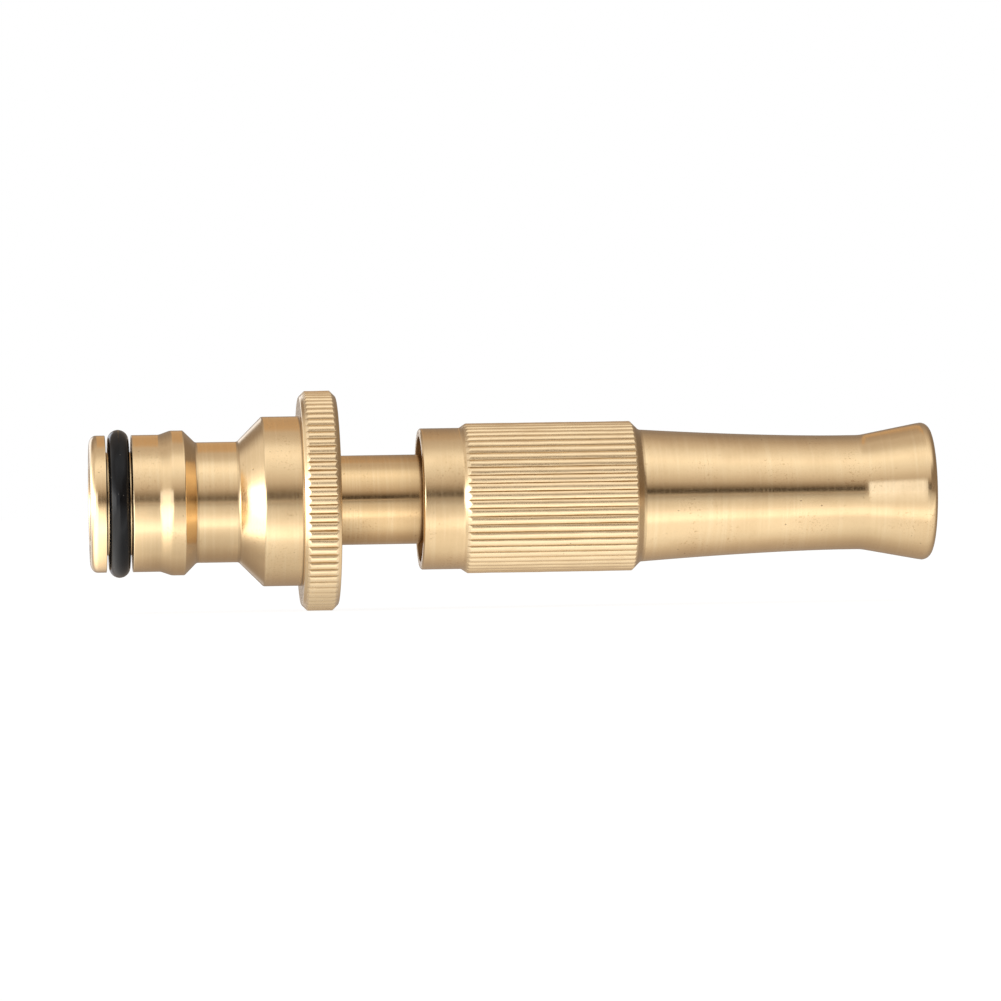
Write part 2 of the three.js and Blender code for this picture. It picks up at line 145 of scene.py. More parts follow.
def turned(rows, angles, rule=None):
    """Carries a profile round the axis: x along, radius times sine and cosine of the angle across.

    A rule changes the radius by place and gives the marks: worn, dirt and painted shade, and
    knurled.
    """
    x = np.repeat(rows[:, :1], len(angles), 1)
    radius = np.repeat(rows[:, 1:2], len(angles), 1)
    angle = np.repeat(angles[None], len(rows), 0)
    bend = np.repeat(rows[:, 2:3], len(angles), 1)
    marks = np.stack([np.maximum(bend, 0), np.maximum(-bend, 0), np.zeros_like(bend)], -1)
    if rule:
        radius, marks = rule(x, radius, angle, marks)
    points = np.stack([x, radius * np.sin(angle), radius * np.cos(angle)], -1)
    return points, marks


def ring_faces(first, second):
    """Triangles between two rings of vertex numbers; the finer ring fans onto the coarser."""
    steps = max(len(first), len(second))
    i = np.arange(steps + 1)
    a = first[(i * len(first) // steps) % len(first)]
    b = second[(i * len(second) // steps) % len(second)]
    low = np.stack([a[:-1], b[:-1], b[1:]], -1)
    high = np.stack([a[:-1], b[1:], a[1:]], -1)
    return np.concatenate([low, high])


def skin(name, sheets, body, stands_for, joined=True, crease=35):
    """One closed piece from sheets of rings: neighbouring rings are joined, then sheet to sheet.

    Vertices in one place become one, faces that collapse are dropped, and all faces are turned
    round if the volume, a sixth of the sum of each triangle's triple product, comes out negative.
    """
    points = np.concatenate([p.reshape(-1, 3) for p, _ in sheets])
    marks = np.concatenate([m.reshape(-1, 3) for _, m in sheets])
    faces, start, edges = [], 0, []
    for p, _ in sheets:
        number = np.arange(start, start + p.shape[0] * p.shape[1]).reshape(p.shape[:2])
        across = np.roll(number, -1, 1)
        faces.append(np.stack([number[:-1], number[1:], across[1:]], -1).reshape(-1, 3))
        faces.append(np.stack([number[:-1], across[1:], across[:-1]], -1).reshape(-1, 3))
        edges.append((number[0], number[-1]))
        start += number.size
    if joined:
        for i, (_, last) in enumerate(edges):
            faces.append(ring_faces(last, edges[(i + 1) % len(edges)][0]))
    faces = np.concatenate(faces)
    _, keep, where = np.unique(
        np.round(points, 4), axis=0, return_index=True, return_inverse=True
    )
    where = where.reshape(-1)
    merged_marks = np.zeros((len(keep), 3))
    np.maximum.at(merged_marks, where, marks)
    points = points[keep] * MM
    faces = where[faces]
    distinct = (
        (faces[:, 0] != faces[:, 1])
        & (faces[:, 1] != faces[:, 2])
        & (faces[:, 0] != faces[:, 2])
    )
    faces = faces[distinct]
    a, b, c = points[faces[:, 0]], points[faces[:, 1]], points[faces[:, 2]]
    if np.einsum("ij,ij->", a, np.cross(b, c)) < 0:
        faces = faces[:, ::-1]
    mesh = bpy.data.meshes.new(name)
    mesh.from_pydata(points, [], faces)
    for i, mark in enumerate(("worn", "dirt_and_shade", "knurled")):
        layer = mesh.attributes.new(mark, "FLOAT", "POINT")
        layer.data.foreach_set("value", merged_marks[:, i].astype(np.float32))
    mesh.shade_smooth()
    mesh.set_sharp_from_angle(angle=math.radians(crease))
    piece = bpy.data.objects.new(name, mesh)
    bpy.context.scene.collection.objects.link(piece)
    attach(piece, body)
    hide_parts(stands_for)
    return piece


def ripple(seed, value):
    """A smooth irregular wave between -1 and 1: the mean of three sines of unrelated lengths."""
    waves = ((1.0, 1.0), (2.71, 3.1), (6.13, 7.7))
    return sum(np.sin(value * rate + seed * shift) for rate, shift in waves) / 3


def knurl_rule(teeth, start, end, crest, depth):
    """Presses straight grooves into the rows from start to end, between rounded ridges.

    The drop below the crest is the depth times 1 less the sine of half a turn per tooth, so the
    ridges are round and the grooves sharp. Every groove is a little shallower or deeper than its
    neighbour, and along its length, as a worn knurling wheel leaves them.
    """

    def rule(x, radius, angle, marks):
        """Radius and marks once the grooves are pressed: crests are worn, grooves darkened."""
        phase = angle / TURN * teeth
        tooth, ridge = np.round(phase), np.floor(phase)
        round_off = np.abs(np.sin(phase * math.pi)) ** 0.68
        uneven = 1 - 0.3 * (1 + ripple(tooth * 2.399, x * 0.22)) / 2
        lumps = 0.035 * (1 + ripple(ridge * 1.7 + 5, x * 0.3)) / 2 * round_off
        limit = crest - depth * uneven * (1 - round_off) - lumps
        inside = (x >= start) & (x <= end)
        pressed = np.where(inside, np.minimum(radius, limit), radius)
        band = inside & (radius > crest - depth)
        marks = marks.copy()
        low = np.clip(1 - round_off * 1.9, 0, 1)
        marks[..., 1] = np.where(band, low, marks[..., 1])
        marks[..., 0] = np.where(band, round_off**3, marks[..., 0])
        marks[..., 2] = np.where(band, 1, 0)
        return pressed, marks

    return rule


def thread_rule(start, end, pitch, foot, crest, foot_half, crest_half):
    """A right-hand thread as a change of radius: from foot to crest across each flank.

    The distance to the thread's middle is x less the helix's place at that angle, to the nearest
    whole pitch. The thread fades in and out over a quarter turn at its two ends, and it cuts
    through any wall that stands in its way.
    """

    def rule(x, radius, angle, marks):
        """Radius and marks with the thread on every wall beyond its foot; the roots are darkened."""
        lead = x / pitch - (math.pi / 2 - angle) / TURN
        off = np.abs(lead - np.round(lead)) * pitch
        height = np.clip((foot_half - off) / (foot_half - crest_half), 0, 1)
        fade = np.clip((x - start) / (pitch / 4), 0, 1) * np.clip((end - x) / (pitch / 4), 0, 1)
        threaded = foot + (crest - foot) * height * fade
        on_wall = radius > foot - 1e-6
        marks = marks.copy()
        marks[..., 1] = np.maximum(marks[..., 1], on_wall * (1 - height) * 0.4 * (fade > 0))
        return np.where(on_wall, np.maximum(radius, threaded), radius), marks

    return rule


# ---- Places of the pieces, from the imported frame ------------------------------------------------

plug_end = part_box("quick_connect_plug")[1].x / MM
flange_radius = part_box("quick_connect_plug")[1].z / MM
stem_rear, stem_front = (corner.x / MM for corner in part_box("stem_tube"))
barrel_rear, barrel_front = (corner.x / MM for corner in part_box("barrel"))
tip_rear, tip_front = (corner.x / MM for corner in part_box("spray_tip"))
bush_rear, bush_front = (corner.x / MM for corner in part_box("gland_bush"))

THREAD_PITCH = 2.5
STEM_RADIUS = 5.25
CORE_BORE = 5.55
GLAND_BORE = 7.35


def ring_place(node):
    """Middle of a ring along X and the mean radius and section of its round, from its box."""
    low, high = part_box(node)
    section = (high.x - low.x) / MM
    return (low.x + high.x) / 2 / MM, high.z / MM - section / 2, section


# ---- Quick-connect plug and its seals -----------------------------------------------------------


def make_plug():
    """The plug: its outside with flange teeth, then its socket and inlet bore."""
    teeth, tooth_depth, width, bevel = 78, 0.35, 4.3, 0.7
    land, ring_groove, catch, latch_neck, shoulder = 8.03, 6.03, 8.49, 7.07, 9.95
    inlet_bore, socket_floor = 4.4, 18.95
    flange_start = plug_end - width
    outside = outline(
        [
            (0, 5.4),
            *arc((0, 6.9), (0.85, land), 8),
            (1.9, land, 0.1),
            (1.9, ring_groove, 0.12),
            (4.95, ring_groove, 0.12),
            (4.95, land, 0.1),
            (8.2, land, 0.2),
            (9.5, catch, 0.2),
            (11.0, catch, 0.1),
            (12.42, latch_neck, 0.18),
            (17.35, latch_neck, 0.18),
            (20.23, shoulder, 0.14),
            (flange_start, shoulder, 0.08),
            (flange_start, flange_radius - bevel, 0.1),
            *slope(flange_start + 0.2, flange_radius - bevel + 0.2, 0.5, 0.5),
            *slope(plug_end - bevel, flange_radius, 0.5, -0.5),
            (plug_end, flange_radius - bevel, 0.1),
            (plug_end, 10.6),
        ],
        spacing=1.2,
    )
    inside = outline(
        [
            (plug_end, 8.2),
            (plug_end, CORE_BORE, 0.3),
            (socket_floor, CORE_BORE, 0.1),
            (socket_floor, inlet_bore, 0.1),
            (0.5, inlet_bore, 0.12),
            (0, 4.9, 0.12),
            (0, 5.2),
        ]
    )
    teeth_rule = knurl_rule(teeth, flange_start, plug_end, flange_radius, tooth_depth)
    places = (0, 0.07, 0.2, 0.35, 0.5, 0.65, 0.8, 0.93)
    sheets = [turned(outside, toothed(teeth, places), teeth_rule), turned(inside, even(104))]
    return skin("plug_body", sheets, "stem_and_plug", "quick_connect_plug")


def make_ring(name, node, body, around=192, section_steps=40, flash=0.012):
    """A rubber ring: a circle of its section carried round the axis, with a fine mould line."""
    place, radius, section = ring_place(node)
    turn = np.arange(section_steps + 1) / section_steps * TURN
    line = flash * (np.exp(-((np.sin(turn) / 0.12) ** 2)))
    half = section / 2 - flash + line
    rows = np.column_stack(
        [place + half * np.sin(turn), radius + half * np.cos(turn), np.zeros(len(turn))]
    )
    sheets = [turned(rows, even(around))]
    return skin(name, sheets, body, node, joined=False, crease=180)


def make_flat_ring(name, node, body, inner, rounding):
    """A washer or gasket: a rounded rectangle carried round the axis."""
    low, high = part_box(node)
    start, end, outer = low.x / MM, high.x / MM, high.z / MM
    rows = outline(
        [
            (start, inner, rounding),
            (start, outer, rounding),
            (end, outer, rounding),
            (end, inner, rounding),
        ],
        spacing=0.6,
        closed=True,
    )
    return skin(name, [turned(rows, even(144))], body, node)


# ---- Stem and tip -------------------------------------------------------------------------------


def make_stem():
    """The stem: bored tube with its adjusting thread, ring groove and cross-drilled spigot."""
    bore, spigot, hole, web = 3.1, 3.9, 1.4, 2.9
    ring_groove, screw_hole = 3.75, 2.2
    groove_start, groove_end, shoulder = (barrel_rear + d for d in (28.85, 30.75, 31.95))
    bore_end = stem_front - web
    hole_place = bore_end - 0.4 - hole
    reach = 1.6
    sector_steps = 24
    angles = (np.arange(4 * sector_steps) / sector_steps - 0.5) * TURN / 4
    thread_start, thread_end = barrel_rear + 11.35, barrel_rear + 18.35
    fine = np.linspace(thread_start, thread_end, 45)
    rear = outline(
        [
            (hole_place - reach, bore),
            (stem_rear, bore, 0.15),
            (stem_rear, STEM_RADIUS, 0.3),
            *[(float(x), STEM_RADIUS) for x in fine],
            (groove_start, STEM_RADIUS, 0.1),
            (groove_start, ring_groove, 0.1),
            (groove_end, ring_groove, 0.1),
            (groove_end, STEM_RADIUS, 0.1),
            (shoulder, STEM_RADIUS, 0.2),
            (shoulder, spigot, 0.1),
            (hole_place - reach, spigot),
        ]
    )
    front = outline(
        [
            (hole_place + reach, spigot),
            (stem_front, spigot, 0.15),
            (stem_front, screw_hole, 0.1),
            (bore_end, screw_hole, 0.1),
            (bore_end, bore, 0.1),
            (hole_place + reach, bore),
        ]
    )
    thread = thread_rule(
        thread_start,
        thread_end,
        THREAD_PITCH,
        STEM_RADIUS,
        crest=6.05,
        foot_half=0.65,
        crest_half=0.35,
    )

    def film(x, radius, angle, marks):
        """The thread, and painted shade on the stem that fades over 3 mm from the barrel's rear."""
        radius, marks = thread(x, radius, angle, marks)
        # Painted shade: the stem is darkened where it enters the barrel, fading over 3 mm.
        near = np.clip(1 - np.abs(x - barrel_rear - 1) / 3, 0, 1)
        marks[..., 1] = np.maximum(marks[..., 1], near * 0.85)
        return radius, marks

    sheets = [turned(rear, angles, film), turned(front, angles)]
    # Round each cross hole the wall is a square patch, drawn from its border in to the hole's
    # rim: along the tube by the cosine, and round it by the angle whose sine is offset / radius.
    side = np.linspace(-1, 1, sector_steps + 1)[:-1]
    border = np.concatenate(
        [
            np.column_stack([np.ones(sector_steps), side]),
            np.column_stack([-side, np.ones(sector_steps)]),
            np.column_stack([-np.ones(sector_steps), -side]),
            np.column_stack([side, -np.ones(sector_steps)]),
        ]
    )
    way = np.arctan2(border[:, 1], border[:, 0])
    share = np.array([1, 0.66, 0.33, 0.08, 0])[:, None]
    rings = []
    for radius, shares in ((spigot, share), (bore, share[::-1])):
        rim_x = hole * np.cos(way)
        rim_angle = np.arcsin(hole * np.sin(way) / radius)
        x = rim_x + (border[:, 0] * reach - rim_x) * shares
        angle = rim_angle + (border[:, 1] * TURN / 8 - rim_angle) * shares
        rings.append((x, angle, np.full_like(x, radius)))
    x, angle, radius = (np.concatenate(part) for part in zip(*rings))
    for quarter in range(4):
        around = angle + quarter * TURN / 4
        points = np.stack(
            [hole_place + x, radius * np.sin(around), radius * np.cos(around)], -1
        )
        sheets.append((points, np.zeros_like(points)))
    return skin("stem_body", sheets, "stem_and_plug", "stem_tube", joined=False)


def make_tip():
    """The tip: screw shank, head, ring groove, lip and nose cone, closed on the axis."""
    head = tip_rear + 2.9
    shank, head_radius, lip, nose = 1.9, 3.6, 2.9, 0.9
    rows = outline(
        [
            (tip_rear, 0),
            (tip_rear, shank, 0.2),
            (head, shank, 0.1),
            (head, head_radius, 0.15),
            (head + 1.2, head_radius, 0.15),
            (head + 1.2, shank, 0.08),
            (head + 3.2, shank, 0.08),
            (head + 3.2, lip, 0.1),
            (head + 4.0, lip, 0.15),
            (tip_front, nose, 0.25),
            (tip_front, 0),
        ],
        spacing=0.8,
    )
    sheets = [turned(rows, even(120))]
    return skin("tip_body", sheets, "stem_and_plug", "spray_tip", joined=False)


# ---- Barrel and gland bush ----------------------------------------------------------------------


def make_barrel():
    """The barrel: collar, knurl, taper, flare and rim; horn, seat, thread and gland inside.

    The taper's radius falls by the length still to go, as a share, to the power 1.55, and the
    horn's opens from the orifice by its share to the power 1.2.
    """
    teeth, knurl_radius, knurl_depth, knurl_start = 55, 8.83, 0.3, 4.8
    collar, waist, orifice, seat_bore, nut_mouth = 8.3, 6.75, 3.2, 4.8, 6.45
    taper_start, taper_end, horn_front, horn_rear = 25.94, 49.3, 60.2, 51.1
    length = barrel_front - barrel_rear
    share = np.linspace(0, 1, 15)
    taper_x = taper_start + (taper_end - taper_start) * share
    taper_r = waist + 1.04 * (1 - share) ** 1.55
    taper = [(float(x), float(r)) for x, r in zip(taper_x, taper_r)]
    taper[0] += (0.2,)
    horn_x = horn_front + (horn_rear - horn_front) * share
    horn_r = orifice + (6.1 - orifice) * (1 - share) ** 1.2
    horn = [(float(x), float(r)) for x, r in zip(horn_x, horn_r)]
    rim = arc((length, 7.05), (length - 1.05, 8.1), 7)[::-1]
    outside = outline(
        [
            (0, 7.7),
            (0, 8.1, 0.06),
            (0.2, collar, 0.1),
            (4.6, collar),
            *slope(knurl_start, collar, 0.8, knurl_radius - collar),
            *slope(24.9, knurl_radius, 0.5, -0.5),
            *taper,
            (52.2, waist, 0.5),
            (length - 1.6, 8.02, 0.4),
            *rim,
            (length, 6.9),
        ],
        spacing=1.4,
    )
    fine = np.linspace(25.15, 9.56, 95)
    inside = outline(
        [
            (length, 6.6),
            (length, 6.4, 0.06),
            *horn,
            (49.6, orifice, 0.1),
            (48.0, seat_bore, 0.1),
            (38.75, seat_bore, 0.1),
            (38.75, CORE_BORE, 0.1),
            *[(float(x), CORE_BORE) for x in fine],
            (9.55, nut_mouth, 0.1),
            (8.55, nut_mouth, 0.1),
            (8.55, GLAND_BORE, 0.1),
            (0, GLAND_BORE, 0.12),
            (0, 7.55),
        ],
        spacing=3,
    )
    outside[:, 0] += barrel_rear
    inside[:, 0] += barrel_rear
    grooves = knurl_rule(
        teeth, barrel_rear + knurl_start, barrel_rear + 26, knurl_radius, knurl_depth
    )

    def outer_wall(x, radius, angle, marks):
        """The knurl's grooves, the collar a little darker, and painted shade at the knurl's front
        edge.
        """
        radius, marks = grooves(x, radius, angle, marks)
        # Painted shade in the foot where the knurl meets the taper; the collar is only slightly
        # darkened.
        darker_collar_and_edge_shade = (x < barrel_rear + 4.7) * 0.16 + (np.abs(x - barrel_rear - 25.7) < 0.45) * 0.5
        marks[..., 1] = np.maximum(marks[..., 1], darker_collar_and_edge_shade)
        return radius, marks

    nut = thread_rule(
        barrel_rear + 8.9,
        barrel_rear + 25.1,
        THREAD_PITCH,
        CORE_BORE,
        crest=6.35,
        foot_half=0.868,
        crest_half=0.65,
    )

    def inner_wall(x, radius, angle, marks):
        """The thread in the bore, with painted shade in the recess that the gland sits in."""
        radius, marks = nut(x, radius, angle, marks)
        # Painted shade: the rear recess round the gland is darkened almost fully.
        marks[..., 1] = np.maximum(marks[..., 1], (x < barrel_rear + 9) * (radius > 7) * 0.95)
        return radius, marks

    places = (0, 0.05, 0.14, 0.28, 0.43, 0.57, 0.72, 0.86, 0.95)
    sheets = [
        turned(outside, toothed(teeth, places), outer_wall),
        turned(inside, even(110), inner_wall),
    ]
    return skin("barrel_body", sheets, "barrel", "barrel")


def make_bush():
    """The gland bush: a ring with a flat-sided slot across its rear face.

    Column angles bend with the radius so that the slot's sides stay straight: a side lies at the
    angle whose sine is half the slot's width over the radius.
    """
    inner, outer, slot_half, slot_depth = CORE_BORE, 7.05, 1.0, 1.2
    rows = outline(
        [
            (bush_front, inner, 0.1),
            (bush_rear, inner, 0.12),
            (bush_rear, outer, 0.12),
            (bush_front, outer, 0.1),
        ],
        spacing=0.5,
        closed=True,
    )
    slot_steps, wall_steps = 8, 44
    inside_slot = np.linspace(-1, 1, slot_steps + 1)
    outside_slot = np.linspace(0, 1, wall_steps + 1)
    radius = rows[:, 1:2]
    edge = np.arcsin(slot_half / radius)
    angle, deep = [], []
    for side in (0, math.pi):
        wall = side + edge + (math.pi - 2 * edge) * outside_slot[None]
        angle += [side + edge * inside_slot[None], wall]
        deep += [np.ones(slot_steps + 1), np.zeros(wall_steps + 1)]
    angle = np.concatenate(angle, 1)
    deep = np.concatenate(deep)[None]
    x = np.maximum(rows[:, :1], (bush_rear + slot_depth) * deep)
    points = np.stack([x, radius * np.sin(angle), radius * np.cos(angle)], -1)
    bend = np.repeat(rows[:, 2:3], angle.shape[1], 1)
    # Painted shade: the whole bush, deep in the barrel's recess, is darkened, and the slot's floor
    # fully.
    dirt_and_shade = np.maximum(0.7, deep * (x < bush_rear + 1.3))
    marks = np.stack([np.maximum(bend, 0) * 0.3, dirt_and_shade, np.zeros_like(x)], -1)
    closed = (np.concatenate([points, points[:1]]), np.concatenate([marks, marks[:1]]))
    return skin("bush_body", [closed], "barrel", "gland_bush", joined=False)


# ---- Shader tools -------------------------------------------------------------------------------


class Wire:
    """A socket that gives a value; sums, products and powers of wires add their Math nodes."""

    def __init__(self, tree, socket=None):
        self.tree, self.socket = tree, socket

    def node(self, kind, sockets=None, output=0, stops=None, **settings):
        """Adds any node: settings first, then its sockets' values or wires. Gives one output."""
        made = self.tree.nodes.new(kind)
        for name, value in settings.items():
            setattr(made, name, value)
        if stops:
            ramp = made.color_ramp.elements
            while len(ramp) < len(stops):
                ramp.new(1)
            for element, (place, tone) in zip(ramp, stops):
                element.position, element.color = place, tone
        for name, value in (sockets or {}).items():
            if isinstance(value, Wire):
                self.tree.links.new(value.socket, made.inputs[name])
            else:
                made.inputs[name].default_value = value
        return Wire(self.tree, made.outputs[output])

    def maths(self, operation, *values):
        """One Math node."""
        return self.node("ShaderNodeMath", dict(enumerate(values)), operation=operation)

    def __add__(self, other):
        return self.maths("ADD", self, other)

    def __sub__(self, other):
        return self.maths("SUBTRACT", self, other)

    def __rsub__(self, other):
        return self.maths("SUBTRACT", other, self)

    def __mul__(self, other):
        return self.maths("MULTIPLY", self, other)

    def __truediv__(self, other):
        return self.maths("DIVIDE", self, other)

    def __pow__(self, other):
        return self.maths("POWER", self, other)

    __radd__, __rmul__ = __add__, __mul__

    def between(self, low, high, smooth=True):
        """0 below low, 1 above high, and a smooth climb between."""
        return self.node(
            "ShaderNodeMapRange",
            {"Value": self, "From Min": low, "From Max": high},
            interpolation_type="SMOOTHSTEP" if smooth else "LINEAR",
        )

    def parts(self):
        """The three parts of a vector."""
        made = self.node("ShaderNodeSeparateXYZ", {"Vector": self})
        return [Wire(self.tree, s) for s in made.socket.node.outputs]

    def millimetres(self):
        """The place on the piece, in millimetres."""
        place = self.node("ShaderNodeTexCoord", output="Object")
        return self.node(
            "ShaderNodeVectorMath", {"Vector": place, "Scale": 1 / MM}, operation="SCALE"
        )

    def mark(self, name):
        """One of the marks that skin leaves on a piece."""
        return self.node("ShaderNodeAttribute", output="Fac", attribute_name=name)

    def point(self, x, y, z):
        """A vector from three parts."""
        return self.node("ShaderNodeCombineXYZ", {"X": x, "Y": y, "Z": z})

    def noise(self, vector, scale, detail=2.0, rough=0.5):
        """Soft noise about 0.5."""
        return self.node(
            "ShaderNodeTexNoise",
            {"Vector": vector, "Scale": scale, "Detail": detail, "Roughness": rough},
        )

    def tones(self, place, stops):
        """A ramp of studio tones along a value from 0 to 1."""
        warmed = [(at, warm(tone)) for at, tone in stops]
        return self.node("ShaderNodeValToRGB", {"Fac": place}, stops=warmed)

    def mix(self, first, second, factor):
        """A colour between two: sockets 6 and 7 and output 2 are the node's colour ones."""
        return self.node(
            "ShaderNodeMix", {0: factor, 6: first, 7: second}, output=2, data_type="RGBA"
        )


def warm(tone):
    """A studio tone: neutral when bright, warmer as it darkens."""
    depth = max(0.0, 1 - tone)
    return (tone, tone * (1 - 0.24 * depth), tone * (1 - 0.44 * depth), 1)


def new_material(name):
    """An empty material, its first wire and its output node."""
    material = bpy.data.materials.new(name)
    material.use_nodes = True
    tree = material.node_tree
    tree.nodes.clear()
    return material, Wire(tree), tree.nodes.new("ShaderNodeOutputMaterial")


def colour(red, green, blue):
    """A solid colour."""
    return (red, green, blue, 1)


# ---- Finishes -----------------------------------------------------------------------------------


def turned_brass(
    name,
    metal=(0.86, 0.63, 0.36),
    stain=(0.56, 0.35, 0.16),
    dirt_and_shade_tint=(0.16, 0.09, 0.035),
    polish=0.14,
    tarnish=0.35,
    pits=0.5,
):
    """Brass off the lathe: fine lines round the axis, tarnish, pits, bright edges, dirt and painted
    shade.

    The lines are noise read at x plus 1.37 times the radius, so that they ring the walls and the
    flat faces alike, and stretched by hardly moving across the axis. Their height is in mm.
    """
    material, w, out = new_material(name)
    scaled = w.millimetres()
    x, y, z = scaled.parts()
    from_axis = (y * y + z * z) ** 0.5
    along = x + from_axis * 1.37
    worn, dirt_and_shade, knurled = w.mark("worn"), w.mark("dirt_and_shade"), w.mark("knurled")
    plain = 1 - knurled

    fine = w.noise(w.point(along * 7.5, y * 0.22, z * 0.22), 1, 2, 0.6)
    feed = w.noise(w.point(along * 2.3, y * 0.07, z * 0.07), 1, 3, 0.6)
    smear = w.noise(w.point(along * 4.2, y * 0.3, z * 0.3), 1, 3, 0.65)
    pressed = w.noise(w.point(x * 0.3, y * 4.5, z * 4.5), 1, 3, 0.65)
    cloud = w.noise(scaled, 0.16, 3, 0.55)
    grain = w.noise(scaled, 3.4, 3, 0.65)
    cells = w.node("ShaderNodeTexVoronoi", {"Vector": scaled, "Scale": 0.62}, feature="F1")
    pit = (1 - cells.between(0.035, 0.085)) * w.noise(scaled, 0.33, 1).between(0.48, 0.6) * pits

    tarnished = (cloud.between(0.42, 0.72) * 0.7 + grain.between(0.52, 0.78) * 0.4) * tarnish
    spots = grain.between(0.57, 0.66) * w.noise(scaled, 0.21, 2).between(0.53, 0.63) * tarnish
    stained = (tarnished * 0.6 + spots * 0.9).between(0, 1, False)
    tint = w.mix(colour(*metal), colour(*stain), stained)
    clean_and_unshaded = 1 - dirt_and_shade
    bright = (feed.between(0.45, 0.75) * 0.3 + worn * 0.4) * clean_and_unshaded
    tint = w.mix(tint, colour(0.95, 0.75, 0.47), bright)
    tint = w.mix(tint, colour(1.0, 0.78, 0.49), knurled * clean_and_unshaded * 0.65)
    streak = pressed.between(0.5, 0.72) * knurled * 0.25
    tint = w.mix(tint, colour(*stain), streak)
    # Darkening by the mark from skin, towards a dark brown: in inside corners, knurl grooves and
    # thread roots, and as painted shade in the barrel's rear recess, on the gland bush, at the
    # knurl's front edge and on the stem beside the barrel.
    tint = w.mix(tint, colour(*dirt_and_shade_tint), (dirt_and_shade * 0.5 + pit * 0.7).between(0, 1, False))

    roughness = (
        polish
        + smear.between(0.4, 0.75) * 0.05
        + grain.between(0.45, 0.8) * 0.05
        + knurled * 0.12
        + dirt_and_shade * 0.14
        + tarnished * 0.08
    )
    height = (
        fine * plain * 0.0010
        + feed * plain * 0.0017
        + pressed * knurled * 0.01
        + grain * 0.0008
        + cloud * 0.004
        - pit * 0.02
    )
    bump = w.node("ShaderNodeBump", {"Height": height, "Strength": 1.0, "Distance": MM})
    shader = w.node(
        "ShaderNodeBsdfPrincipled",
        {"Base Color": tint, "Metallic": 1.0, "Roughness": roughness, "Normal": bump},
    )
    w.tree.links.new(shader.socket, out.inputs["Surface"])
    return material


def rubber(name, shade=0.003, gloss=0.09, dust=0.5):
    """Moulded black rubber: a film of grease, fine pores and a few pale specks of dust."""
    material, w, out = new_material(name)
    scaled = w.millimetres()
    pores = w.noise(scaled, 9, 2, 0.6)
    film = w.noise(scaled, 0.45, 2, 0.5)
    cells = w.node("ShaderNodeTexVoronoi", {"Vector": scaled, "Scale": 1.5}, feature="F1")
    speck = (1 - cells.between(0.05, 0.1)) * w.noise(scaled, 0.6, 1).between(0.5, 0.62) * dust
    dark, light = shade, shade * 2.2
    tint = w.mix(colour(dark, dark, shade * 1.15), colour(light, light, shade * 2.4), film)
    tint = w.mix(tint, colour(0.4, 0.36, 0.3), speck * 0.6)
    roughness = gloss + film.between(0.4, 0.7) * 0.08
    roughness = roughness + pores.between(0.4, 0.7) * 0.05 + speck * 0.3
    height = pores * 0.002 + film * 0.012 + speck * 0.01
    bump = w.node("ShaderNodeBump", {"Height": height, "Strength": 1.0, "Distance": MM})
    shader = w.node(
        "ShaderNodeBsdfPrincipled",
        {"Base Color": tint, "Roughness": roughness, "Normal": bump, "IOR": 1.3},
    )
    w.tree.links.new(shader.socket, out.inputs["Surface"])
    return material


# ---- Pieces put together ------------------------------------------------------------------------

finishes = {
    "plug": turned_brass("plug_turned_brass"),
    "barrel": turned_brass("barrel_turned_brass", tarnish=0.5, pits=0.8),
    "stem": turned_brass("stem_drawn_brass", metal=(0.79, 0.55, 0.29), polish=0.09, tarnish=0.5),
    "tip": turned_brass("tip_bright_brass", polish=0.12, tarnish=0.2),
    "gland": turned_brass("gland_dull_brass", metal=(0.66, 0.45, 0.23), polish=0.3, tarnish=0.9),
    "ring": rubber("greased_ring_rubber"),
    "gasket": rubber("gasket_rubber", shade=0.016, gloss=0.5, dust=0.9),
}


def finish(piece, which):
    """Gives a piece its material."""
    piece.data.materials.append(finishes[which])
    return piece


finish(make_plug(), "plug")
finish(make_ring("plug_ring", "plug_o_ring", "stem_and_plug"), "ring")
finish(
    make_flat_ring(
        "joint_gasket", "stem_joint_gasket", "stem_and_plug", 4.4, 0.15
    ),
    "gasket",
)
finish(make_stem(), "stem")
finish(make_ring("stem_ring", "stem_o_ring", "stem_and_plug", 144, 28), "ring")
finish(make_tip(), "tip")
finish(make_ring("tip_ring", "tip_o_ring", "stem_and_plug", 120, 28), "ring")
finish(make_ring("gland_ring", "gland_o_ring", "gland_seal", 144, 28), "ring")
finish(
    make_flat_ring(
        "gland_thrust_washer", "gland_washer", "gland_seal", CORE_BORE, 0.12
    ),
    "gland",
)
finish(make_barrel(), "barrel")
finish(make_bush(), "gland")

# ---- Studio -------------------------------------------------------------------------------------


